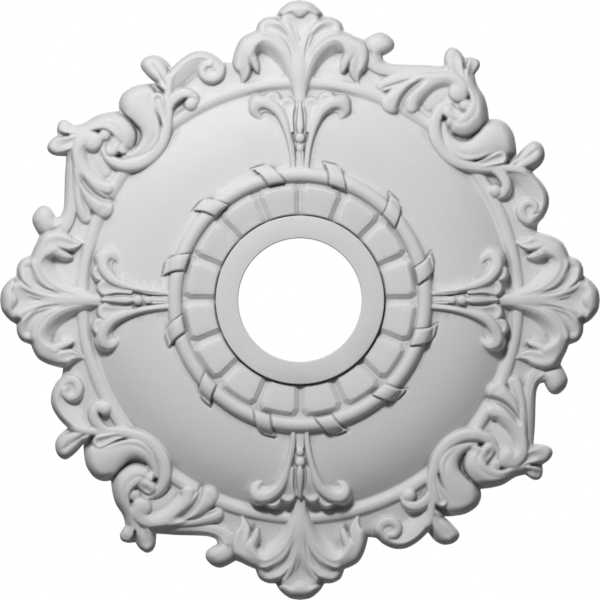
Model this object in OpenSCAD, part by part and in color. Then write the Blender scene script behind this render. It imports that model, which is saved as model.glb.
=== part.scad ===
// Ceiling rose: a round moulded centrepiece with a hole for a pendant, a roped
// ring, a domed field and a carved rim of four palmettes and four scrolls.
// Millimetres. The back seats on the ceiling at z = 0 and the face looks down, -Z.
// The shapes are drawn face up, with height measured from the back, and turned over last.

// Radii and heights below the overall sizes are those of a rose 457 wide and 38 deep,
// and they follow the overall sizes.

/* [Overall sizes] */
// Width across the tips of two opposite palmettes
width = 457; // [380:1:550]
// Depth from the ceiling to the lowest point
depth = 38; // [31:0.5:46]
// Radius of the hole for the pendant or the cable
hole_r = 47; // [38:0.5:52]

/* [Rings] */
// Outer radius of the flat collar that a canopy seats on
collar_r = 64; // [60:0.5:66]
// Height of the collar above the ceiling
collar_h = 36; // [33:0.5:40]
// Height of the panels' cove at the collar
cove_h = 30; // [28:0.5:32]
// Radius from the centre to the middle of the roped ring
rope_r = 95.4; // [94:0.2:97]
// Half thickness of the roped ring
rope_t = 6.2; // [5.5:0.1:6.6]
// Height of the roped ring's middle above the ceiling
rope_h = 30.8; // [29:0.2:32]
// Radius from the centre to the middle of the rim bead
rim_r = 165.4; // [163:0.2:167]
// Half thickness of the rim bead
rim_t = 4.8; // [4:0.1:5.5]
// Height of the rim bead's middle above the ceiling
rim_h = 11; // [9:0.5:12]
// Thickness of the plain ground behind the carving
ground_h = 9; // [7:0.5:10]

/* [Back] */
// Depth of the relief cut in the back, clear of the ceiling
back_relief = 2.5; // [1.5:0.25:4]
// Inner radius of the relief in the back
back_in_r = 62; // [58:1:70]
// Outer radius of the relief in the back
back_out_r = 152; // [140:1:160]

/* [Panels] */
// Number of pillow panels round the collar
panel_n = 16; // [12:4:20]
// Rise of a panel above the cove
panel_rise = 2.2; // [1:0.1:3]
// Half width of the groove between two panels
panel_gap = 1; // [0.5:0.1:2]
// Width of a panel's bevel
panel_bevel = 2.4; // [1.5:0.1:3]

/* [Ribbons] */
// Number of ribbons round the roped ring
ribbon_n = 12; // [8:4:16]
// Half width of a ribbon
ribbon_w = 6.2; // [4:0.2:7]
// Thickness of a ribbon over the rope
ribbon_t = 1; // [0.6:0.1:2]
// Angle that a ribbon leans over from its outer to its inner end
ribbon_lean = 7; // [3:0.5:10]
// Reach of a ribbon's outer end from the middle of the rope
ribbon_toe = 10; // [8.5:0.5:12]
// Angle from an axis to the first ribbon
ribbon_turn = 13.5; // [10:0.5:20]

/* [Carving] */
// Greatest length of one step along a carved ridge
step_len = 22; // [12:1:30]

/* [Hidden] */
plaster = [0.86, 0.86, 0.85];
sink = 1;
quarter = 90;
across_scale = width / 457;
depth_scale = depth / 38;
tube_scale = min(across_scale, depth_scale);
outline_step = 5;
base_h = ground_h - sink;

// Height of the domed field at a radius: a shallow crown that steepens to the rim bead.
field_in = rope_r + rope_t - 1.4;
field_out = rim_r - rim_t - 1.6;
field_top = rope_h - 1;
field_foot = rim_h + 0.5;
field_power = 3.4;
function field_h(r) =
    let (t = min(1, max(0, (r - field_in) / (field_out - field_in))))
    field_top - (field_top - field_foot) * (0.13 * t + 0.87 * pow(t, field_power));

// A drawn point at its real place.
function real(x, y, z) = [x * across_scale, y * across_scale, z * depth_scale];
// A drawn point of a turned profile at its real place.
function turned_real(p) = [p[0] * across_scale, p[1] * depth_scale];

// ---- Points along a ridge ----
// A ridge is a list of [x, y, half width, crest height].

// One point of a Catmull-Rom curve between b and c.
function curve_at(a, b, c, d, t) =
    0.5 * (2 * b + (c - a) * t + (2 * a - 5 * b + 4 * c - d) * t * t
        + (3 * b - a - 3 * c + d) * t * t * t);
function flat(p) = [p[0], p[1]];
// The ridge's points with more between them where they lie far apart.
function smooth(p, step = step_len) = [
    for (i = [0 : len(p) - 2])
        let (
            n = max(1, ceil(norm(flat(p[i + 1]) - flat(p[i])) / step)),
            before = i == 0 ? 2 * p[0] - p[1] : p[i - 1],
            after = i == len(p) - 2 ? 2 * p[i + 1] - p[i] : p[i + 2]
        )
        for (k = [0 : n - 1]) curve_at(before, p[i], p[i + 1], after, k / n),
    p[len(p) - 1]
];
// Unit direction of the ridge at point i.
function along(p, i) =
    let (d = flat(p[min(i + 1, len(p) - 1)]) - flat(p[max(i - 1, 0)]))
    d / norm(d);
// Two narrowing steps that round the end of a ridge off.
function round_end(p) =
    let (e = p[len(p) - 1], d = along(p, len(p) - 1))
    [for (a = [62])
        [e[0] + d[0] * e[2] * sin(a), e[1] + d[1] * e[2] * sin(a),
         e[2] * cos(a), e[3] - e[2] * (1 - cos(a)) * 0.55]];

// Cross-sections of a ridge: [place across in half widths, share of the crest height].
rounded = [[-1, 0.7], [-0.4, 1], [0.4, 1], [1, 0.7]];
narrow = [[-1, 0.7], [0, 1], [1, 0.7]];
peaked = [[0, 1]];
scooped = [[-1, 0.95], [0, 0.72], [1, 0.95]];
level = [[-1, 1], [1, 1]];

// A solid ridge from its base up to its crest line.
module ridge(points, section, base = base_h, ends = true) {
    s = smooth(points);
    p = ends ? concat(s, round_end(s)) : s;
    m = len(section) + 2;
    vertices = [
        for (i = [0 : len(p) - 1])
            let (d = along(s, min(i, len(s) - 1)), across = [-d[1], d[0]], w = p[i][2])
            for (k = [0 : m - 1])
                let (
                    s = k == 0 ? [-1, 0] : k == m - 1 ? [1, 0] : section[k - 1],
                    q = flat(p[i]) + across * w * s[0]
                )
                real(q[0], q[1], base + (p[i][3] - base) * s[1])
    ];
    sides = [
        for (i = [0 : len(p) - 2]) for (k = [0 : m - 1])
            let (a = i * m + k, b = i * m + (k + 1) % m)
            each [[a, b, b + m], [a, b + m, a + m]]
    ];
    first = [for (k = [m - 1 : -1 : 0]) k];
    last = [for (k = [0 : m - 1]) (len(p) - 1) * m + k];
    polyhedron(concat(vertices), concat(sides, [first, last]), convexity = 6);
}

// A round boss on the carving.
module boss(x, y, r, top) {
    sides = 7;
    rings = [[1, 0.5], [0.55, 1]];
    points = concat(
        [for (a = [0 : sides - 1])
            real(x + r * cos(a * 360 / sides), y + r * sin(a * 360 / sides), base_h)],
        [for (g = rings) for (a = [0 : sides - 1])
            real(x + g[0] * r * cos(a * 360 / sides), y + g[0] * r * sin(a * 360 / sides),
                top - (1 - g[1]) * r)]
    );
    polyhedron(points, concat(
        [[for (a = [0 : sides - 1]) a]],
        [for (g = [0 : len(rings) - 1]) for (a = [0 : sides - 1])
            let (b = (a + 1) % sides)
            each [[g * sides + a, (g + 1) * sides + a, g * sides + b],
                  [g * sides + b, (g + 1) * sides + a, (g + 1) * sides + b]]],
        [[for (a = [sides - 1 : -1 : 0]) len(rings) * sides + a]]
    ), convexity = 4);
}

// ---- Outline ----
// One quarter of the outline, lobe by lobe, clockwise from the palmette on +Y.
// A lobe runs to the first point of the next one, and they meet at a crease.
palm_top = [[0, 228.5], [8, 227], [15, 221.5]];
palm_side = [[18.5, 216], [25, 215.5], [31, 212]];
palm_leaf = [[34, 205], [40, 202.5], [45, 200]];
bulb_curl = [[49, 198.5], [55, 202], [61, 204], [67, 202], [71.5, 197], [71.5, 192], [68, 188.5]];
long_edge = [[63, 186], [64, 182.5], [69, 180.3], [76, 179.6], [95, 179]];
tall_lobe = [[109.5, 178], [110, 186], [112.5, 191], [117, 192.5], [122, 189.5]];
small_lobe = [[125.5, 184.5], [131, 185], [136, 183], [137, 178]];
horn_edge = [[133, 171.5], [135, 164], [140.5, 155], [143, 146]];
cushion_edge = [[144, 137.5], [150, 138], [157, 135], [162.5, 127], [164.5, 118]];
leaf_edge = [[165, 109.5], [171, 116.5], [178.5, 121.5], [184.5, 118], [186.5, 110], [183.5, 103]];
scroll_edge = [[177, 97.5], [184, 90], [189, 81], [189.5, 72], [186, 63.5], [181.5, 58]];
leaf_back = [[180.5, 52], [187, 50.5], [193, 48.5], [199, 45], [202.5, 40]];
side_back = [[205, 34], [212, 31], [215.5, 25]];
top_back = [[216, 18.5], [221.5, 15], [227, 8]];
lobes = [palm_top, palm_side, palm_leaf, bulb_curl, long_edge, tall_lobe, small_lobe, horn_edge,
    cushion_edge, leaf_edge, scroll_edge, leaf_back, side_back, top_back];
quarter_outline = [
    for (i = [0 : len(lobes) - 1])
        let (
            next = i < len(lobes) - 1 ? lobes[i + 1][0] : [palm_top[0][1], 0],
            curve = smooth(concat(lobes[i], [next]), outline_step)
        )
        for (k = [0 : len(curve) - 2]) curve[k]
];
function turned(p, n) = n == 0 ? p : turned([p[1], -p[0]], n - 1);
outline = [for (n = [0 : 3]) for (p = quarter_outline) turned(p, n)];

// ---- Carving on each axis ----

// Palmette: a fan of lobes on a stem, along +X.
module palmette() {
    ridge([[148, 0, 4.4, 20], [170, 0, 5, 20], [190, 0, 9, 20], [206, 0, 17, 19.5],
           [216.6, 0, 12.6, 18]], rounded);
    for (side = [1, -1]) {
        ridge([[176, 4 * side, 3, 19], [195, 9 * side, 6, 20], [204, 17 * side, 8, 20],
               [206, 24 * side, 8, 17]], scooped);
        ridge([[158, 3 * side, 3, 18], [174, 7 * side, 4, 19], [188, 15 * side, 6, 20],
               [194, 27 * side, 8.5, 21], [190, 38 * side, 10.5, 20],
               [180, 44 * side, 7.5, 17], [166, 44 * side, 1, 12]], narrow, ends = false);
        ridge([[190, 33 * side, 7, 19], [176, 31 * side, 1, 13]], peaked, ends = false);
    }
}

// Lily between the roped ring and the palmette, along +X.
module lily() {
    foot = rope_r + rope_t - 1;
    ridge([[foot, 0, 2.6, field_h(foot) + 2.5], [112, 0, 2.6, field_h(112) + 2.5]], level,
        ends = false);
    for (bead = [[115, 3.2, 4], [122.6, 3.8, 4.6]])
        boss(bead[0], 0, bead[1], field_h(bead[0]) + bead[2]);
    ridge([[126, 0, 3, 32], [154, 0, 5, 23]], peaked, ends = false);
    for (side = [1, -1]) {
        ridge([[foot, 5.4 * side, 2.2, field_h(foot) + 3], [120, 7.4 * side, 2.6, 32.4],
               [133, 12 * side, 3.4, 31], [143.6, 22 * side, 4.2, 29.4],
               [146, 31 * side, 4.6, 27.6], [140, 33.5 * side, 2.6, 25]], narrow, ends = false);
        ridge([[126, 5 * side, 2.4, 29], [140, 8.5 * side, 6, 26], [151, 9.5 * side, 6.5, 24]],
            scooped, ends = false);
        ridge([[152, 14 * side, 6, 23], [151, 31 * side, 6.5, 23]], scooped);
    }
}

// ---- Carving between two axes, from the palmette on +Y round to the one on +X ----

module long_stem() {
    ridge([[118, 172, 4, 16], [92, 176, 3.4, 14], [72, 177.4, 3.4, 14], [58, 184, 5, 15],
           [55, 191, 5, 16]], narrow, ends = false);
    boss(61.5, 194, 9.6, 18);
}

module leaf_lobes() {
    ridge([[117, 171, 2.6, 18], [92, 170.5, 4, 17], [64, 164, 6, 15]], rounded);
    ridge([[117, 167, 3, 18], [98, 167, 5, 19], [82, 160, 7.4, 18], [71, 150, 8, 16]], scooped);
    ridge([[112, 166, 3.4, 18], [98, 161, 6, 19], [87, 149, 4, 16]], scooped);
    ridge([[104, 168, 4, 18], [117, 166.6, 5, 21], [123.5, 160, 4.6, 21]], narrow);
    boss(119, 156.6, 7.4, 21);
    boss(123.6, 147.6, 5.4, 21);
}

module forked_band() {
    ridge([[128, 164, 4, 20], [121.5, 175, 5.6, 18], [117, 185.6, 6.4, 15]], scooped);
    ridge([[130, 166, 4, 19], [132, 179, 5, 15]], narrow);
    ridge([[127, 170, 5, 19], [133.4, 157, 7, 21], [134.6, 142, 8, 23], [126, 132.6, 7.6, 23],
           [115, 133.6, 6, 22], [110.5, 144, 4, 18]], rounded);
}

module sweeping_ridge() {
    ridge([[113, 151, 3, 18], [102, 145, 4.6, 19], [99.8, 131, 5.2, 20], [106, 115.6, 5.4, 20],
           [119, 104.6, 5.2, 20], [136, 100.4, 4.8, 19], [160, 99.4, 4.4, 18]], narrow);
}

module cushion() {
    ridge([[110.5, 131, 2.6, 17], [116, 119.6, 5, 19], [128, 116, 7, 20],
           [142, 119, 12, 21], [150, 123, 13, 21]], rounded);
    ridge([[124, 107.6, 2.6, 19], [152, 108.8, 4.6, 21]], narrow);
}

module single_leaf() {
    ridge([[158, 101, 3.6, 18], [168, 105.6, 6.4, 17], [178, 112, 7, 15]], scooped);
}

module scrolls() {
    ridge([[154, 99.4, 4, 18], [168, 96, 5.4, 18], [180, 87, 6.4, 18], [183.4, 74, 5.8, 17],
           [177, 62.6, 5.2, 16]], narrow);
    boss(175.4, 70, 6, 17);
    ridge([[146, 98, 4, 19], [156.4, 93, 5, 19], [157, 84, 4, 18]], peaked, ends = false);
    boss(151, 82, 5.4, 20);
    ridge([[164, 50, 3, 13], [177, 52.6, 5, 14]], narrow);
}

module carving() {
    for (turn = [0 : 3]) rotate([0, 0, turn * quarter]) {
        palmette();
        lily();
        long_stem();
        leaf_lobes();
        forked_band();
        sweeping_ridge();
        cushion();
        single_leaf();
        scrolls();
    }
}

// ---- Ribbons and panels ----

// One ribbon laid over the roped ring, leaning from its toe on the field to its inner end.
module ribbon() {
    reach = rope_t + ribbon_t;
    low = rope_h - 2.5;
    ring = concat(
        [[0, low], [ribbon_toe, low], [ribbon_toe, field_h(rope_r + ribbon_toe) + ribbon_t]],
        [for (a = [30 : 30 : 180]) [reach * cos(a), rope_h + reach * sin(a)]],
        [[-reach, low]]
    );
    n = len(ring);
    points = [for (side = [-1, 1]) for (p = ring)
        let (turn = ribbon_lean * p[0] / (ribbon_toe + reach), r = rope_r + p[0])
        real(r * cos(turn) - side * ribbon_w * sin(turn),
            r * sin(turn) + side * ribbon_w * cos(turn), p[1])];
    polyhedron(points, concat(
        [for (k = [0 : n - 1])
            let (m = (k + 1) % n)
            each [[k, m + n, k + n], [k, m, m + n]]],
        [for (k = [1 : n - 2]) [0, k + 1, k]],
        [for (k = [1 : n - 2]) [n, n + k, n + k + 1]]
    ), convexity = 4);
}

module ribbons() {
    for (k = [0 : ribbon_n - 1])
        rotate([0, 0, ribbon_turn + k * 360 / ribbon_n]) ribbon();
}

// One pillow panel: a wedge with bevelled sides and clipped outer corners.
module panel() {
    half = 180 / panel_n;
    r_in = collar_r - sink;
    r_out = rope_r - rope_t - 0.5;
    clip = 3;
    side_in = r_in * tan(half) - panel_gap;
    side_out = (r_out - clip) * tan(half) - panel_gap;
    top = cove_h + panel_rise;
    loop = function (inset, z) [
        real(r_in, -side_in + inset, z),
        real(r_out - clip, -side_out + inset, z),
        real(r_out - inset, -side_out + clip + inset / 2, z),
        real(r_out - inset, side_out - clip - inset / 2, z),
        real(r_out - clip, side_out - inset, z),
        real(r_in, side_in - inset, z)];
    polyhedron(concat(loop(0, ground_h), loop(0, top - 1.8), loop(panel_bevel, top)), concat(
        [[0, 1, 2, 3, 4, 5]],
        [for (g = [0, 1]) for (k = [0 : 5])
            let (n = (k + 1) % 6)
            each [[g * 6 + k, g * 6 + k + 6, g * 6 + n], [g * 6 + n, g * 6 + k + 6, g * 6 + n + 6]]],
        [[17, 16, 15, 14, 13, 12]]
    ));
}

module panels() {
    for (k = [0 : panel_n - 1])
        rotate([0, 0, (k + 0.5) * 360 / panel_n]) panel();
}

// ---- Body ----

// Profile of the turned body, from the hole to the rim bead, with a shallow relief that
// keeps the middle of the back clear of an uneven ceiling.
module body_profile() {
    stations = 14;
    field = [for (i = [0 : stations])
        let (r = field_in + (field_out - field_in) * i / stations) [r, field_h(r)]];
    face = concat(
        [[collar_r - 1, collar_h], [collar_r, collar_h - 1], [collar_r + 0.6, cove_h],
         [rope_r - rope_t + 1, cove_h + 1]],
        field,
        [[rim_r, rim_h], [rim_r, 0]]
    );
    relief_in = back_in_r * across_scale;
    relief_out = back_out_r * across_scale;
    polygon(concat(
        [[hole_r, 0], [hole_r, collar_h * depth_scale]],
        [for (p = face) turned_real(p)],
        [[relief_out, 0], [relief_out, back_relief - 1], [relief_out - 1, back_relief],
         [relief_in + 1, back_relief], [relief_in, back_relief - 1], [relief_in, 0]]
    ));
}

module body() {
    rotate_extrude() body_profile();
    linear_extrude(ground_h * depth_scale) difference() {
        polygon(outline * across_scale);
        circle((rim_r - 2) * across_scale, $fn = 96);
    }
    rotate_extrude() translate(turned_real([rope_r, rope_h])) circle(rope_t * tube_scale);
    rotate_extrude() translate(turned_real([rim_r, rim_h])) circle(rim_t * tube_scale);
}

module ceiling_rose() {
    color(plaster)
        rotate([180, 0, 0])
            union() {
                body();
                resize([0, 0, 0]) union() carving();
                ribbons();
                panels();
            }
}

ceiling_rose();
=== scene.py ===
"""Looks of a moulded ceiling rose: one carved relief casting, seen face on from below."""

import math

import bmesh
import bpy
import numpy as np
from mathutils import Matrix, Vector


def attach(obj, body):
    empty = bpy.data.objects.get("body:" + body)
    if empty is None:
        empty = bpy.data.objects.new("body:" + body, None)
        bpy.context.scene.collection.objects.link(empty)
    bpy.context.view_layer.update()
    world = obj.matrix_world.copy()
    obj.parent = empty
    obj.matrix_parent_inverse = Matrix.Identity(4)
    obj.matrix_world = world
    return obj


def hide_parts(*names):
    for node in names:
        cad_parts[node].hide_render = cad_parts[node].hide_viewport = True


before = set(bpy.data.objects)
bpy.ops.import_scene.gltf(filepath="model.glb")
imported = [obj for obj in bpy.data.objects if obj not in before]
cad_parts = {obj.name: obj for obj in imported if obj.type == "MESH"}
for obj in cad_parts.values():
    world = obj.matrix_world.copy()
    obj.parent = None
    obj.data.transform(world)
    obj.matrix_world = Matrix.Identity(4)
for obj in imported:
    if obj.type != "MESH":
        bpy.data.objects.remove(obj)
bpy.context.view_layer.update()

# ---- Sizes, in millimetres; heights are measured from the back, towards the viewer ----
HOLE, COLLAR, ROPE, RIM = 47.0, 64.0, 95.4, 165.4
COLLAR_H, COVE_H, ROPE_H, RIM_H, GROUND_H = 36.0, 30.0, 30.8, 11.0, 9.0
ROPE_T, RIM_T = 6.2, 4.8
COLLAR_ROUND, HOLE_ROUND = 1.2, 0.8
CORD, CORD_T = ROPE - 0.5, ROPE_T - 0.6     # the bare ring between its ribbons
BACK_IN, BACK_OUT, BACK_DEEP, BACK_BEVEL = 62.0, 152.0, 2.5, 1.0
PANELS, PANEL_RISE, PANEL_BEVEL = 16, 4.2, 4.2
PANEL_DIP, PANEL_SLOPE = 0.42, 20.0         # share lost beside the collar, and how far out it lasts
PANEL_GAP, PANEL_CLIP = 0.3, 4.2            # half of the groove between two panels, and their cut corners
RIBBONS, RIBBON_OUT, RIBBON_IN = 12, 10.2, 5.2
RIBBON_T, RIBBON_CORNER, FOLD_W, FOLD_DEEP = 1.7, 2.6, 1.6, 0.8
EDGE_H, EDGE_ROUND = 5.0, 7.5
TIP_FALL, TIP_START, TIP_REACH = 0.3, 4.0, 54.0     # how the outermost leaves fall towards the ceiling

# ---- Fineness ----
TRIANGLES = 190000
CELL, CELL_R = 0.55, 165.0   # spacing of the mesh, and where it is square
UNCUT, GRID_R = 178.0, 230.0                # the outline runs between these two radii
STATION = 0.6        # spacing along a stroke
CUT_STATION, EDGE_STATION = 1.0, 1.2        # and along a groove and the outline
EDGE_LAP = 60                               # outline stations borrowed from the next quarter

# ---- Camera and light, in metres and watts ----
LENS, SENSOR = 600.0, 36.0
VIEW_WIDTH, VIEW_PLANE = 0.4565, -0.014
AMBIENT = 0.06
LAMPS = {  # place, width, power
    "key": ((-0.32, -0.88, -1.18), 0.3, 18.6),
    "fill": ((1.2, 1.0, -2.0), 1.6, 1.0),
    "above": ((0.6, -0.9, 2.0), 1.2, 32),
}
AIM = (0, 0, -0.02)


# ---- Curves and cross-sections ----
def spline(points, step):
    """A smooth curve through points of any width, with stations about a step apart."""
    p = np.array(points, float)
    p = np.vstack([2 * p[0] - p[1], p, 2 * p[-1] - p[-2]])
    rows = []
    for a, b, c, d in zip(p[:-3], p[1:-2], p[2:-1], p[3:]):
        n = max(1, int(math.ceil(np.hypot(*(c - b)[:2]) / step)))
        for t in np.arange(n) / n:
            rows.append(0.5 * (2 * b + (c - a) * t + (2 * a - 5 * b + 4 * c - d) * t * t
                               + (3 * b - a - 3 * c + d) * t ** 3))
    rows.append(p[-2])
    return np.array(rows)


def nearest(x, y, line):
    """Each point's distance to a line, its offsets across the line and past its ends, the line's other
    columns at the nearest place, and that place."""
    best = np.full(x.shape, 1e9)
    across, past = np.zeros(x.shape), np.zeros(x.shape)
    rest = np.zeros(x.shape + (line.shape[1] - 2,))
    foot = np.zeros(x.shape + (2,))
    for k, (a, b) in enumerate(zip(line[:-1], line[1:])):
        long = np.hypot(b[0] - a[0], b[1] - a[1]) + 1e-9
        ux, uy = (b[0] - a[0]) / long, (b[1] - a[1]) / long
        t = ((x - a[0]) * ux + (y - a[1]) * uy) / long
        beyond = (t < 0) & (k == 0) | (t > 1) & (k == len(line) - 2)
        t = np.clip(t, 0, 1)
        ex, ey = x - a[0] - t * long * ux, y - a[1] - t * long * uy
        d = np.hypot(ex, ey)
        near = d < best
        best[near] = d[near]
        side = ux * ey - uy * ex
        across[near] = np.where(beyond, side, np.copysign(d, side))[near]
        past[near] = np.where(beyond, np.abs(ux * ex + uy * ey), 0)[near]
        rest[near] = a[2:] + t[near, None] * (b[2:] - a[2:])
        foot[near, 0] = (x - ex)[near]
        foot[near, 1] = (y - ey)[near]
    return best, across, past, rest, foot


def shaped(drop, shoulder, *points):
    """A section: the shape between its edges, how far the edges drop, and where that drop starts."""
    line = spline(points, 0.02)
    return (line[:, 0], line[:, 1]), drop, shoulder


def rounded(drop, shoulder=0.0):
    return shaped(drop, shoulder, (-1, 0), (1, 0))


def trough(deep, drop):
    return shaped(drop, 0.66, (-1, 0), (-0.72, 0), (-0.4, -deep * 0.6), (0, -deep),
                  (0.4, -deep * 0.6), (0.72, 0), (1, 0))


BAND = rounded(4, 0.2)
DRAPE = shaped(4, 0.45, (-1, -0.2), (-0.6, 0), (-0.2, -0.7), (0.15, -0.9), (0.5, -0.2), (1, 0))
COVE = shaped(2, 0.85, (-1, -12), (-0.8, -10.2), (-0.45, -6.2), (-0.1, -2.2), (0.15, -0.4),
              (0.4, 0), (1, 0))
HORN = shaped(3, 0.8, (-1, 0), (-0.7, 0), (-0.42, -0.1), (-0.3, -0.8), (-0.12, -0.4), (0.2, -0.9),
              (0.55, -2.8), (0.85, -5.2), (1, -6.5))
FOLD = shaped(4.5, 0.45, (-1, 0), (-0.4, 0), (-0.12, -0.9), (0, -2.3), (0.1, -1.1), (0.4, 0), (1, 0))
STEM = shaped(4, 0.5, (-1, -0.5), (-0.4, 0), (0.05, -1), (0.35, -0.3), (1, -1))
BOWL = shaped(2, 0.85, (-1, -10), (-0.6, -7.8), (-0.2, -5.2), (0.2, -2.8), (0.55, -1),
              (0.8, 0), (1, 0.2))
FAN = shaped(3.6, 0.75, (-1, 0), (-0.72, 0), (-0.45, -1.8), (-0.2, -3.4), (0.1, -3.8), (0.4, -2.2),
             (0.66, -0.2), (1, 0))

# ---- Carving ----
# A stroke is a section and a list of (x, y, half width, crest height); a groove is its half width,
# its depth and a list of (x, y). Palmette and lily stand on +Y and are drawn for x > 0 alone; the
# scroll fills one quarter, between the palmettes on +Y and +X.
PALMETTE = [
    (rounded(2.4), [(0, 147, 4.6, 21), (0, 165, 4.7, 21.5), (0, 178, 5.6, 22), (0, 190, 7, 21)]),
    (trough(3, 3), [(0, 180, 5, 21), (0, 194, 8, 20.4), (0, 203, 12, 19.4), (0, 210, 15, 18.6)]),
    (rounded(1), [(0, 176, 1, 21.4), (0, 190, 1.3, 20.6), (0, 204, 1, 16.6)]),
    (rounded(1), [(1.2, 172, 0.9, 21.2), (2.6, 190, 1.4, 21.2), (5.8, 201, 1.8, 20.8),
                  (9.4, 208, 2.2, 20), (12, 211.6, 2.2, 19)]),
    (rounded(1), [(0.6, 180, 0.8, 21), (1, 192, 1.1, 20.6), (2.4, 201, 1.3, 19), (4.8, 208, 1, 16.8)]),
    (COVE, [(4.6, 154, 1.4, 17), (5.2, 160, 3, 19), (6.8, 167, 4.6, 20), (9, 175, 6, 20.6),
            (13.2, 184, 7.4, 21), (19.4, 191.4, 8.4, 21.5), (27, 195.2, 8.8, 21.5), (33.4, 193, 7, 21.4),
            (37, 188.4, 4.6, 20.4)]),
    (FAN, [(3, 176, 1.6, 21.5), (5.6, 190, 3.4, 21.5), (10, 199, 5.2, 21.5), (16.5, 204.6, 6.8, 21.5),
           (22.4, 207, 8.2, 21), (23.6, 207.2, 8.4, 20.5)]),
    (DRAPE, [(3, 166, 1.6, 21), (5.4, 178, 2.4, 21.5), (10, 188, 3, 22), (17, 196, 3.5, 22),
             (26, 200.4, 4.2, 22.3), (33.4, 199, 5.8, 22.4), (39.6, 194.6, 8, 22.6),
             (43.4, 187.4, 8.4, 21.8), (43.8, 180.4, 6.8, 20.4), (42.2, 174.4, 5, 18.8),
             (42.6, 169.2, 2.7, 16.6), (44.2, 165, 0.9, 14)]),
    (rounded(3), [(38.4, 192, 4, 21.6), (38, 188, 4, 21), (36.2, 183.6, 3.3, 20.2),
                  (34, 178.6, 2.9, 18.6), (32.7, 175, 1.8, 17), (32.1, 173.6, 0.9, 15.8)]),
    (rounded(6, 0.1), [(0, 221.4, 6.6, 22.8), (6.4, 223, 5, 22.4), (12.6, 220.4, 3.9, 21)]),
]
PALMETTE_CUTS = [
    (0.9, 1.7, [(41.4, 187), (39.6, 183.4), (37.6, 179.6), (36.2, 176), (34.8, 172)]),
    (0.7, 1.4, [(3.6, 180), (6.4, 198), (11.4, 208.6), (15.6, 213)]),
    (0.6, 1.0, [(4.6, 176), (8, 192), (14, 200.6)]),
]
LILY = [
    (rounded(2), [(0, 118, 4, 30.6), (0, 130, 5.6, 29), (0, 138, 7, 27), (0, 143, 7, 25)]),
    (rounded(1.5, 0.7), [(9, 136, 3.6, 27.4), (13, 142.4, 5.4, 25.8), (19, 147, 6.2, 24.6),
                         (28, 148.6, 5.6, 24)]),
    (rounded(0.8), [(0, 100, 3, 31.8), (0, 111.6, 3, 31.6)]),
    (trough(1.3, 2.2), [(19.6, 147, 6.2, 25), (20.6, 151.2, 6.6, 24.8)]),
    (trough(1.3, 2.2), [(30.6, 147, 6, 24), (31.6, 149, 6.6, 24)]),
    (trough(1, 1.8), [(5.6, 128, 1, 31), (7.8, 138, 2.8, 29.2), (8.8, 144, 4.8, 27.2),
                      (9.2, 147.6, 6.2, 25.8)]),
    (BAND, [(4.9, 99, 1.9, 33), (6, 112, 2.1, 33), (8.1, 123, 2.4, 32.4), (11.2, 133.4, 3, 31.4),
            (16, 143, 3.8, 30), (24, 149, 4.4, 28.4), (31, 149.4, 4.8, 27.4), (34, 145.4, 4.6, 26.4),
            (33, 141.4, 3.4, 25.2), (30, 138.6, 2, 24.2), (27.2, 137.6, 0.9, 23.4)]),
    (rounded(1.6), [(0, 128, 1.8, 33), (0, 132, 2.5, 32.6), (0, 139, 2, 30.4), (0, 146, 1.3, 27.6),
                    (0, 150, 0.9, 25.4)]),
    (rounded(3), [(0, 122.8, 3.7, 33.4), (0, 123.2, 3.7, 33.4)]),
    (rounded(2.4), [(0, 115.2, 2.9, 32.8), (0, 115.6, 2.9, 32.8)]),
]
LILY_CUTS = [
    (0.5, 0.7, [(1.6, 101), (1.6, 111.5)]),
    (0.5, 0.9, [(4.4, 104), (5.4, 114), (6.6, 124), (8.4, 133)]),
]
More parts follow.
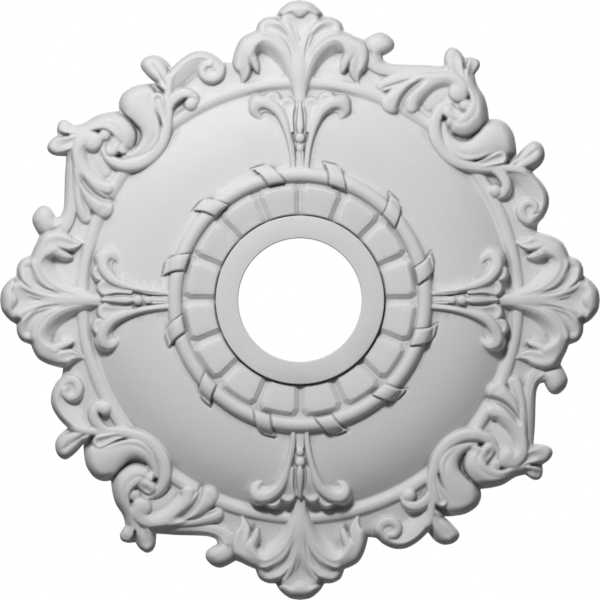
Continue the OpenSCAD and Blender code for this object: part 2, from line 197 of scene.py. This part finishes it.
SCROLL = [
    (STEM, [(119, 173, 2.4, 17.5), (112, 175.6, 2.8, 17), (100, 176.4, 3, 16), (85, 176.8, 3, 15.5),
            (72, 177.6, 3.2, 15.8), (63.5, 180.6, 4, 15.8), (59, 185.6, 5, 15.8)]),
    (rounded(6), [(60.6, 194.4, 10.2, 17.5), (62, 194.2, 10.2, 17.5)]),
    (rounded(2), [(120, 172.4, 4, 17), (104, 173.8, 4.6, 15.8), (88, 174.2, 4.6, 15.2),
                  (74, 175, 5, 14.6), (63, 177.4, 6.4, 14.4), (56, 182, 7, 14.6)]),
    (rounded(4, 0.2), [(114, 170.8, 2.6, 18.4), (95, 169.6, 3.4, 18), (78, 167.6, 4.4, 17.5),
                       (67, 164.4, 5.3, 16.8), (63, 162.8, 5.2, 16)]),
    (COVE, [(89.4, 148, 2.6, 17.4), (90, 149.6, 4.8, 18.2), (91.6, 152.4, 6.6, 19),
            (95.2, 157.2, 7.4, 19.8), (100.6, 161.8, 7.8, 20.2), (107.6, 165, 8.2, 20.6),
            (114, 165.2, 8, 21), (119, 162, 6, 21)]),
    (rounded(4.5, 0.25), [(112, 169.6, 2.6, 19.6), (98, 168, 4.8, 20.4), (87, 163, 6.4, 20.4),
                          (78.6, 157, 7.6, 20.2), (72.4, 151.6, 8, 19.8), (69.8, 149.2, 7.7, 19)]),
    (rounded(4.5, 0.25), [(108, 169, 2.6, 20), (98.4, 166.4, 3.6, 20.6), (91.4, 161, 4.2, 20.6),
                          (86.8, 154.4, 4.6, 20), (84.8, 146.4, 4.9, 18.8)]),
    (rounded(2), [(98, 148, 5, 13.4), (104.6, 154, 7, 14.4), (112, 158, 6, 15)]),
    (rounded(2), [(114, 152, 4, 15.4), (121, 149, 6, 16.4), (125, 145, 5, 17)]),
    (BAND, [(98, 167, 2.4, 20.4), (104, 169.2, 3, 21), (112, 170.2, 3.6, 21.6), (118.6, 168, 4.6, 22),
            (122.6, 163.4, 5.4, 22.4), (122.8, 160, 5.6, 22.6)]),
    (rounded(5), [(120.4, 158, 7.3, 22.8), (121, 157.6, 7.3, 22.8)]),
    (rounded(4), [(125.8, 148.4, 4.8, 20.6), (126.4, 148.2, 4.8, 20.6)]),
    (BAND, [(118, 152, 1.8, 16.2), (112.6, 148.6, 2.8, 17.8), (108, 145.4, 3.6, 18.8),
            (104.8, 140.6, 4.3, 19.8), (102.6, 132.6, 4.9, 20.4), (103.8, 122.4, 5.1, 21),
            (109.6, 112.6, 5, 21), (118, 105.8, 4.8, 21), (128, 102.2, 4.4, 20.5), (140, 100.6, 4, 20),
            (152, 100.4, 3.4, 19.5), (162, 99.8, 3, 19.5)]),
    (BOWL, [(152, 97, 2, 18), (160, 94.4, 6, 18.6), (170, 89, 9.4, 18.8), (177, 81.6, 10.6, 18.6),
            (179.6, 75, 9, 18)]),
    (BAND, [(150, 100.4, 3, 19.5), (162, 99.8, 2.8, 19.6), (171, 97.4, 2.6, 19.6), (179.4, 91.2, 2.6, 19.4),
            (185.4, 82.4, 2.8, 19), (186.6, 73.8, 3.2, 18.4), (183.8, 66, 3.6, 18), (178, 61.2, 3.8, 17.8),
            (171.8, 61.6, 3.8, 17.6), (168.6, 66.8, 3.8, 17.8), (170.2, 72.4, 3.4, 18),
            (174.8, 74.4, 3, 18.2), (178.9, 71.8, 2.6, 18.4), (179.1, 68, 2.2, 18.4)]),
    (rounded(1), [(174.6, 68, 6, 16.2), (175.4, 68, 6, 16.2)]),
    (rounded(1.5), [(176.6, 65.4, 1.7, 17), (177, 65.2, 1.7, 17)]),
    (BAND, [(143, 100.6, 2.6, 19), (151, 97.4, 3.8, 19.6), (156, 91.6, 4.2, 20), (157, 85.4, 3.6, 20),
            (154.6, 80.6, 3, 18.8), (151.4, 78.8, 2.4, 17.4)]),
    (rounded(4), [(148.8, 83.2, 4.8, 20), (149.2, 82.8, 4.8, 20)]),
    (rounded(6.5), [(109.4, 134, 2.4, 17), (110.8, 126, 4.6, 18.5), (115, 118.6, 6, 20),
                    (123, 114, 7, 21), (132, 114, 8.2, 22), (141, 118, 10.6, 22.5),
                    (148.4, 122.2, 13.2, 22.5), (151.6, 122.8, 13.8, 22.2)]),
    (rounded(1), [(110.6, 125, 0.6, 18.4), (112.6, 118, 1.2, 20), (117.6, 111.8, 1.6, 21),
                  (125, 108.2, 1.7, 21.4), (134.5, 108.8, 1.7, 21.6), (144, 112.6, 1.7, 21.6),
                  (151, 115, 1.3, 20.8)]),
    (trough(2.6, 3.6), [(132, 102.6, 1.8, 19.5), (141, 104.2, 3.2, 21), (149, 107, 4.8, 21.8),
                        (152.4, 108, 5.2, 21.4)]),
    (HORN, [(126.4, 174, 1.6, 18), (129, 169, 3.6, 19.8), (132.2, 163, 5, 21), (135.6, 155, 6.4, 22),
            (136.6, 147, 7.2, 23), (133.2, 138.6, 8, 23.4), (126.4, 132.8, 8.2, 23), (120, 132.6, 7.4, 22),
            (117.4, 134, 6.4, 21)]),
    (rounded(4, 0.2), [(125, 137, 4.2, 20.8), (120, 139.6, 4.8, 21.6), (115, 142.4, 5.2, 21.8),
                       (114.2, 143, 5.2, 21.6)]),
    (trough(3.2, 4), [(130.6, 164, 2.6, 19.6), (130.2, 170, 3.6, 19.6), (131, 176.6, 4.8, 19.4),
                      (132.4, 180.2, 5.2, 18.4)]),
    (trough(2.6, 4), [(125, 163, 2, 19.4), (121.6, 170.6, 4, 19.6), (118.6, 178.4, 6, 19.4),
                      (117.2, 184.8, 7, 18.4)]),
    (FOLD, [(160, 100.6, 2.8, 18.6), (166.6, 104.4, 5.6, 19), (172.2, 108.2, 8, 18.8),
            (177.4, 111.8, 9, 17.8)]),
]
SCROLL_CUTS = [
    (2.3, 5.4, [(96, 167.8), (91, 165.4), (86.4, 162.2), (81.6, 157.6), (77.9, 152.2), (75.8, 147),
                (75.2, 143.4)]),
    (2, 3, [(111.6, 147.4), (115.6, 145), (120, 142.2)]),
    (0.8, 1.8, [(61, 160), (68, 162.6), (78, 165.8), (88, 168)]),
    (0.7, 0.5, [(163, 91.6), (168, 85.5), (173.6, 79)]),
]

# ---- Outline: one quarter, lobe by lobe, clockwise from the palmette on +Y ----
LOBES = [
    [(0, 228.5), (8, 227), (15, 221.5)],
    [(18.5, 216), (25, 215.5), (31, 212)],
    [(34, 205), (40, 202.5), (45, 200)],
    [(49, 198.5), (55, 202), (61, 204), (67, 202), (71.5, 197), (71.5, 192), (68, 188.5)],
    [(63, 186), (64, 182.5), (69, 180.3), (76, 179.6), (95, 179)],
    [(109.5, 178), (110, 186), (112.5, 191), (117, 192.5), (122, 189.5)],
    [(125.5, 184.5), (131, 185), (136, 183), (137, 178)],
    [(133, 171.5), (135, 164), (140.5, 155), (143, 146)],
    [(144, 137.5), (150, 138), (157, 135), (162.5, 127), (164.5, 118)],
    [(165, 109.5), (171, 116.5), (178.5, 121.5), (184.5, 118), (186.5, 110), (183.5, 103)],
    [(177, 97.5), (184, 90), (189, 81), (189.5, 72), (186, 63.5), (181.5, 58)],
    [(180.5, 52), (187, 50.5), (193, 48.5), (199, 45), (202.5, 40)],
    [(205, 34), (212, 31), (215.5, 25)],
    [(216, 18.5), (221.5, 15), (227, 8)],
]


def outline_quarter(step):
    ends = [lobe[0] for lobe in LOBES[1:]] + [(LOBES[0][0][1], 0)]
    return np.vstack([spline(lobe + [end], step)[:-1] for lobe, end in zip(LOBES, ends)])


def turned(p, quarters):
    """Points turned clockwise by a number of quarters."""
    c, s = [(1, 0), (0, 1), (-1, 0), (0, -1)][quarters % 4]
    return np.stack([p[..., 0] * c + p[..., 1] * s, p[..., 1] * c - p[..., 0] * s], -1)


# ---- The relief ----
def quarter_round(t):
    """A rounded edge: 0 at the edge itself, 1 where the round ends at t = 1."""
    return np.sqrt(1 - (1 - np.clip(t, 0, 1)) ** 2)


def half_round(across, radius):
    return np.sqrt(np.maximum(radius ** 2 - across ** 2, 0))


def field_height(r):
    """The domed field, gentle beside the ring and steeper towards the rim."""
    start, end = ROPE + ROPE_T - 1.4, RIM - RIM_T - 1.6
    t = np.clip((r - start) / (end - start), 0, 1)
    top, foot = ROPE_H - 1, RIM_H + 2.5
    return top - (top - foot) * (0.18 * t + 0.82 * t ** 3.1)


def rings(r, angle):
    """Height of what is turned about the centre: collar, panels, ring, field, rim bead and ground."""
    # ground under the leaves, highest at the rim, and the shallow cove under the panels
    ground = GROUND_H + 4.5 * (1 - np.clip((r - RIM) / 30, 0, 1)) ** 1.3
    h = np.where(r > RIM, ground, field_height(r))
    h = np.where(r < ROPE, COVE_H + 1.4 * ((r - COLLAR) / (ROPE - COLLAR)) ** 2, h)
    # bevelled panels, with clipped outer corners and a fine bead in the groove between two
    half = math.pi / PANELS
    across = np.abs((angle + half) % (2 * half) - half)
    side = r * np.sin(across)
    out = ROPE - ROPE_T - 0.2 - r
    inside = np.minimum(np.minimum(side - PANEL_GAP, out + 0.4), (side + 0.75 * out - PANEL_CLIP) * 0.8)
    rise = np.clip(np.minimum(inside, r - COLLAR + 3) / PANEL_BEVEL, 0, 1)
    raised = PANEL_RISE * (rise + 0.03 * np.sin(2 * math.pi * rise)) + 0.3 * np.clip(inside / 10, 0, 1)
    raised = raised * (1 - PANEL_DIP * np.clip(1 - (r - COLLAR) / PANEL_SLOPE, 0, 1) ** 1.8)
    panel = (r < ROPE - ROPE_T) & (r > COLLAR)
    h = np.where(panel, h + raised + 0.4 * np.exp(-(side / 0.4) ** 2), h)
    # collar, with a fine groove round its foot
    h = np.where(r > COLLAR, h - 1.2 * np.exp(-((r - COLLAR - 0.3) / 0.45) ** 2), h)
    collar = COLLAR_H - COLLAR_ROUND * (1 - quarter_round((COLLAR - r) / COLLAR_ROUND))
    h = np.where(r < COLLAR, collar, h)
    h = h - HOLE_ROUND * (1 - quarter_round((r - HOLE) / HOLE_ROUND))
    # ring and rim bead
    rope = ROPE_H + half_round(r - CORD, CORD_T)
    h = np.where(np.abs(r - CORD) < CORD_T, np.maximum(h, rope), h)
    bead = RIM_H + half_round(r - RIM, RIM_T) - 6 * np.maximum(np.abs(r - RIM) - RIM_T, 0)
    soft = np.interp(r, (RIM - 3, RIM + 3), (2.5, 5))
    blend = np.clip(0.5 + (bead - h) / (2 * soft), 0, 1)
    return np.where(r > ROPE + 20, h + (bead - h) * blend + soft * blend * (1 - blend), h)


def ribbons(h, r, angle):
    """Ribbons laid over the ring, leaning clockwise towards the centre, with a fold at the left edge."""
    pitch = 2 * math.pi / RIBBONS
    out = r - ROPE
    left = np.radians(np.interp(out, (-5, 1.6, 5.3, 10.3), (14.5, 13.2, 12.2, 9.8)))
    right = np.radians(np.interp(out, (-5, 2.2, 6.6, 9, 10.2), (22.6, 20.2, 18.4, 17, 15.6)))
    across = ((angle - (left + right) / 2 + pitch / 2) % pitch - pitch / 2) * r
    half = (right - left) / 2 * r
    corner = RIBBON_CORNER - np.hypot(np.maximum(RIBBON_CORNER - half + across, 0),
                                      np.maximum(RIBBON_CORNER - RIBBON_OUT + out, 0))
    inside = np.minimum(np.minimum(corner, half + across), out + RIBBON_IN)
    lay = np.maximum(ROPE_H + half_round(out, ROPE_T + RIBBON_T), field_height(r) + 2.4)
    fold = FOLD_DEEP * np.clip((FOLD_W - across - half) / FOLD_W, 0, 1)
    gap = 1.4 * np.exp(-((inside + 0.6) / 0.6) ** 2)
    z = lay - fold - 6.0 * np.clip(0.3 - inside, 0, 1)
    return np.where(inside > -0.2, np.maximum(h, z), h - gap)


def region(x, y, line, reach):
    """The points inside the box round a line, which are all that its stroke can touch."""
    lo, hi = line[:, :2].min(0) - reach, line[:, :2].max(0) + reach
    return (x > lo[0]) & (x < hi[0]) & (y > lo[1]) & (y < hi[1])


def paint(h, x, y, stroke):
    """Raises one stroke of the carving, with its ends closed round."""
    (profile, drop, shoulder), points = stroke
    line = spline(points, STATION)
    m = region(x, y, line, line[:, 2].max() + 4)
    d, across, past, rest, _ = nearest(x[m], y[m], line)
    w, crest = rest[:, 0], rest[:, 1]
    small = np.minimum(1, w / 4.5)
    shape = np.interp(np.clip(across / w, -1, 1), *profile)
    fade = np.clip(1.25 - past / w / 0.7, 0, 1)
    u = np.clip((d / w - shoulder) / (1 - shoulder), 0, 1)
    z = crest + small * (shape * fade - drop * (1 - np.sqrt(1 - 0.985 * u * u)))
    z -= np.maximum(d - w, 0) * 7
    h[m] = np.maximum(h[m], z)


def cut(h, x, y, groove):
    """Presses a groove into the carving, shallower at its two ends."""
    w, deep, points = groove
    line = spline(points, CUT_STATION)
    station = np.arange(len(line))
    taper = np.minimum(1, np.minimum(station, station[::-1] + 3) / 8 + 0.1)
    line = np.column_stack([line, taper])
    m = region(x, y, line, w * 3)
    d, _, _, rest, _ = nearest(x[m], y[m], line)
    h[m] -= deep * rest[:, 0] * np.exp(-(d / w) ** 2)


def carve(h, x, y, strokes, grooves):
    for stroke in strokes:
        paint(h, x, y, stroke)
    for groove in grooves:
        cut(h, x, y, groove)


def relief(x, y, r, angle, outline):
    """Height of the whole face over one quarter."""
    h = ribbons(rings(r, angle), r, angle)
    carve(h, x, y, PALMETTE + LILY, PALMETTE_CUTS + LILY_CUTS)
    carve(h, x, y, SCROLL, SCROLL_CUTS)
    carve(h, y, x, PALMETTE + LILY, PALMETTE_CUTS + LILY_CUTS)
    # outside the crisp collar the casting is a little softened, as by its paint
    soft = h.copy()
    soft[1:-1] = (h[:-2] + 2 * h[1:-1] + h[2:]) / 4
    soft[:, 1:-1] = (soft[:, :-2] + 2 * soft[:, 1:-1] + soft[:, 2:]) / 4
    h = np.where(r > COLLAR + 1, soft, h)
    h = EDGE_H + (h - EDGE_H) * (1 - TIP_FALL * np.clip((r - RIM - TIP_START) / TIP_REACH, 0, 1))
    near = r > RIM
    d = nearest(x[near], y[near], outline)[0]
    h[near] = EDGE_H + (h[near] - EDGE_H) * quarter_round(d / EDGE_ROUND)
    return h


# ---- The casting's mesh: a polar grid of one quarter, repeated four times ----
def within(px, py, loop):
    """Even-odd test of points against a closed loop."""
    inside = np.zeros(px.shape, bool)
    for (x0, y0), (x1, y1) in zip(loop, np.roll(loop, -1, 0)):
        if y0 == y1:
            continue
        hit = ((y0 > py) != (y1 > py)) & (px < (x1 - x0) * (py - y0) / (y1 - y0) + x0)
        inside ^= hit
    return inside


def casting():
    """The carved face: vertices, quads, the loops of its outer edge and hole, and the columns in all."""
    columns = int(round(math.pi / 2 * CELL_R / CELL))
    # rows are added where the lip of the hole and the edge of the collar are rounded
    radii = np.unique(np.concatenate([
        np.arange(HOLE, GRID_R, CELL), HOLE + np.array([0.1, 0.25, 0.5, 0.8]),
        COLLAR + np.array([-1.2, -0.8, -0.4, -0.15, 0, 0.12])]))
    radii = radii[np.concatenate([[True], np.diff(radii) > 0.05])]
    theta = np.arange(columns) * (math.pi / 2 / columns)
    r, angle = np.meshgrid(radii, theta, indexing="ij")
    x, y = r * np.sin(angle), r * np.cos(angle)

    quarter = outline_quarter(EDGE_STATION)
    loop = np.vstack([turned(quarter, k) for k in range(4)])
    before, after = turned(quarter, 3)[-EDGE_LAP:], turned(quarter, 1)[:EDGE_LAP]
    h = relief(x, y, r, angle, np.vstack([before, quarter, after]))

    rows, n = len(radii), columns * 4
    xy = np.concatenate([turned(np.stack([x, y], -1), k) for k in range(4)], axis=1)
    z = np.concatenate([h] * 4, axis=1)
    i, j = np.meshgrid(np.arange(rows - 1), np.arange(n), indexing="ij")
    quads = np.stack([i * n + j, (i + 1) * n + j, (i + 1) * n + (j + 1) % n, i * n + (j + 1) % n], -1)
    mid_r = (radii[:-1] + radii[1:])[:, None] / 2
    mid_a = (theta + theta[1] / 2)[None, :]
    mx, my = mid_r * np.sin(mid_a), mid_r * np.cos(mid_a)
    keep = (mid_r < UNCUT) | within(mx, my, loop)
    faces = quads[np.concatenate([keep] * 4, axis=1)]
    points = xy.reshape(-1, 2).copy()
    height = z.reshape(-1).copy()

    # edges used once bound the face; the first n points are the hole's, the rest move onto the outline
    a = faces.ravel()
    b = np.roll(faces, -1, axis=1).ravel()
    key = np.minimum(a, b) * (rows * n) + np.maximum(a, b)
    _, first, count = np.unique(key, return_index=True, return_counts=True)
    once = first[count == 1]
    step = dict(zip(a[once].tolist(), b[once].tolist()))
    rim = [next(v for v in step if v >= n)]
    while step[rim[-1]] != rim[0]:
        rim.append(step[rim[-1]])
    rim = np.array(rim)
    closed = np.vstack([loop, loop[:1]])
    points[rim] = nearest(points[rim, 0], points[rim, 1], closed)[4]
    height[rim] = EDGE_H

    used = np.unique(faces)
    index = np.full(rows * n, -1)
    index[used] = np.arange(len(used))
    verts = np.column_stack([points[used], height[used]])
    return verts, index[faces], index[rim], index[np.arange(n)], n


def back(verts, faces, rim, hole, n):
    """Adds the walls, the inner seating ring and the recess; build() fills the outer seating ring."""
    ang = np.arange(n) * (2 * math.pi / n)
    extra = []
    base = len(verts)

    def ring(radius, height):
        extra.append(np.column_stack([radius * np.sin(ang), radius * np.cos(ang),
                                      np.full(n, float(height))]))
        return base + sum(len(e) for e in extra[:-1]) + np.arange(n)

    def strip(inner, outer):
        return np.stack([inner, np.roll(inner, -1), np.roll(outer, -1), outer], -1)

    foot = base + np.arange(len(rim))
    extra.append(np.column_stack([verts[rim, :2], np.zeros(len(rim))]))
    walls = [np.stack([np.roll(rim, -1), rim, foot, np.roll(foot, -1)], -1)]
    loops = [ring(HOLE, 0), ring(BACK_IN, 0), ring(BACK_IN, BACK_DEEP - BACK_BEVEL),
             ring(BACK_IN + BACK_BEVEL, BACK_DEEP), ring(BACK_OUT - BACK_BEVEL, BACK_DEEP),
             ring(BACK_OUT, BACK_DEEP - BACK_BEVEL), ring(BACK_OUT, 0)]
    walls.append(strip(hole, loops[0]))
    walls += [strip(p, q) for p, q in zip(loops[:-1], loops[1:])]
    verts = np.vstack([verts] + extra)
    return verts, np.vstack([faces] + walls), foot, loops[-1]


def build():
    """The casting as one closed mesh."""
    verts, faces, rim, hole, n = casting()
    verts, faces, foot, seat = back(verts, faces, rim, hole, n)
    # turned over: the carved face looks down and the back lies at zero
    world = np.column_stack([verts[:, 0], -verts[:, 1], -verts[:, 2]]) / 1000
    mesh = bpy.data.meshes.new("rose_casting")
    mesh.from_pydata(world.tolist(), [], faces.tolist())
    bm = bmesh.new()
    bm.from_mesh(mesh)
    bm.verts.ensure_lookup_table()
    edges = []
    for chain in (foot, seat):
        for p, q in zip(chain, np.roll(chain, -1)):
            edges.append(bm.edges.get((bm.verts[int(p)], bm.verts[int(q)])))
    bmesh.ops.triangle_fill(bm, use_beauty=False, use_dissolve=False, edges=edges)
    bmesh.ops.recalc_face_normals(bm, faces=bm.faces)
    bm.to_mesh(mesh)
    bm.free()
    obj = bpy.data.objects.new("rose_casting", mesh)
    bpy.context.collection.objects.link(obj)
    tris = sum(len(p.vertices) - 2 for p in mesh.polygons)
    if tris > TRIANGLES:
        thin = obj.modifiers.new("thin", "DECIMATE")
        thin.ratio = TRIANGLES / tris
        shown = bpy.data.meshes.new_from_object(obj.evaluated_get(bpy.context.evaluated_depsgraph_get()))
        obj.modifiers.clear()
        obj.data = shown
        shown.name = "rose_casting"
    obj.data.shade_smooth()
    obj.data.set_sharp_from_angle(angle=math.radians(55))
    return obj


# ---- Material: factory-primed matt white ----
def primed():
    mat = bpy.data.materials.new("primed_foam")
    mat.use_nodes = True
    nodes, links = mat.node_tree.nodes, mat.node_tree.links
    shader = nodes["Principled BSDF"]
    place = nodes.new("ShaderNodeTexCoord")

    def noise(scale, detail=2.0):
        node = nodes.new("ShaderNodeTexNoise")
        node.inputs["Scale"].default_value = scale
        node.inputs["Detail"].default_value = detail
        links.new(place.outputs["Object"], node.inputs["Vector"])
        return node.outputs["Fac"]

    def ramp(source, stops):
        node = nodes.new("ShaderNodeValToRGB")
        while len(node.color_ramp.elements) < len(stops):
            node.color_ramp.elements.new(0.5)
        for element, (at, value) in zip(node.color_ramp.elements, stops):
            element.position = at
            element.color = (*(value if isinstance(value, tuple) else (value,) * 3), 1)
        links.new(source, node.inputs["Fac"])
        return node.outputs["Color"]

    # near-white paint, speckled, with painted shade darkening the hollows
    tone = ramp(noise(14, 3), [(0.3, (0.775, 0.775, 0.772)), (0.7, (0.805, 0.805, 0.8))])
    speckle = ramp(noise(1100, 2), [(0.3, 0.93), (0.7, 1.0)])
    # painted shade: ambient occlusion darkens the base colour in creases and hollows, where shade falls
    occlusion_shade = nodes.new("ShaderNodeAmbientOcclusion")
    occlusion_shade.samples = 8
    occlusion_shade.only_local = True
    occlusion_shade.inputs["Distance"].default_value = 0.009
    painted_shade = ramp(occlusion_shade.outputs["AO"], [(0.2, 0.3), (0.88, 1.0)])
    for layer in (speckle, painted_shade):
        # the colour sockets share their names with others, so they are taken by number
        mix = nodes.new("ShaderNodeMix")
        mix.data_type = "RGBA"
        mix.blend_type = "MULTIPLY"
        mix.inputs[0].default_value = 1
        links.new(tone, mix.inputs[6])
        links.new(layer, mix.inputs[7])
        tone = mix.outputs[2]
    links.new(tone, shader.inputs["Base Color"])
    links.new(ramp(noise(90, 3), [(0.3, 0.62), (0.7, 0.78)]), shader.inputs["Roughness"])
    shader.inputs["Specular IOR Level"].default_value = 0.3
    # paint grain and small pits
    grain = nodes.new("ShaderNodeBump")
    grain.inputs["Strength"].default_value = 0.3
    grain.inputs["Distance"].default_value = 0.0005
    links.new(noise(900, 3), grain.inputs["Height"])
    pits = nodes.new("ShaderNodeTexVoronoi")
    pits.inputs["Scale"].default_value = 110
    links.new(place.outputs["Object"], pits.inputs["Vector"])
    dent = nodes.new("ShaderNodeBump")
    dent.inputs["Strength"].default_value = 0.35
    dent.inputs["Distance"].default_value = 0.0005
    links.new(ramp(pits.outputs["Distance"], [(0.0, 0.0), (0.035, 1.0)]), dent.inputs["Height"])
    links.new(grain.outputs["Normal"], dent.inputs["Normal"])
    links.new(dent.outputs["Normal"], shader.inputs["Normal"])
    return mat


# ---- Stage ----
def look_at(obj, target):
    obj.rotation_mode = "QUATERNION"
    obj.rotation_quaternion = (Vector(target) - obj.location).to_track_quat("-Z", "Y")


def area(name, place, size, power):
    light = bpy.data.lights.new(name, "AREA")
    light.shape = "DISK"
    light.size = size
    light.energy = power
    lamp = bpy.data.objects.new(name, light)
    lamp.location = place
    lamp.visible_camera = False
    bpy.context.collection.objects.link(lamp)
    look_at(lamp, AIM)


def stage():
    """A world that looks white but hardly lights the rose, the camera and the lamps."""
    scene = bpy.context.scene
    world = bpy.data.worlds.new("white")
    scene.world = world
    world.use_nodes = True
    nodes, links = world.node_tree.nodes, world.node_tree.links
    nodes.clear()
    rays = nodes.new("ShaderNodeLightPath")
    seen, lit = nodes.new("ShaderNodeBackground"), nodes.new("ShaderNodeBackground")
    seen.inputs["Color"].default_value = (1, 1, 1, 1)
    seen.inputs["Strength"].default_value = 1
    lit.inputs["Color"].default_value = (1, 1, 1, 1)
    lit.inputs["Strength"].default_value = AMBIENT
    direct = nodes.new("ShaderNodeMath")
    direct.operation = "MAXIMUM"
    both = nodes.new("ShaderNodeMath")
    both.operation = "MAXIMUM"
    links.new(rays.outputs["Is Camera Ray"], direct.inputs[0])
    links.new(rays.outputs["Is Glossy Ray"], direct.inputs[1])
    links.new(direct.outputs[0], both.inputs[0])
    links.new(rays.outputs["Is Transmission Ray"], both.inputs[1])
    mix = nodes.new("ShaderNodeMixShader")
    out = nodes.new("ShaderNodeOutputWorld")
    links.new(both.outputs[0], mix.inputs["Fac"])
    links.new(lit.outputs[0], mix.inputs[1])
    links.new(seen.outputs[0], mix.inputs[2])
    links.new(mix.outputs[0], out.inputs["Surface"])

    scene.view_settings.view_transform = "Standard"
    # straight up at the carved face, from far enough to see it flat
    camera = bpy.data.objects.new("camera", bpy.data.cameras.new("camera"))
    camera.data.lens = LENS
    camera.data.sensor_width = SENSOR
    camera.location = (0, 0, VIEW_PLANE - VIEW_WIDTH / SENSOR * LENS)
    camera.rotation_euler = (math.pi, 0, 0)
    camera.data.clip_end = 20
    bpy.context.collection.objects.link(camera)
    scene.camera = camera

    for name, (place, size, power) in LAMPS.items():
        area(name, place, size, power)


rose = build()
rose.data.materials.clear()
rose.data.materials.append(primed())
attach(rose, "root")
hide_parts("ceiling_rose")
stage()
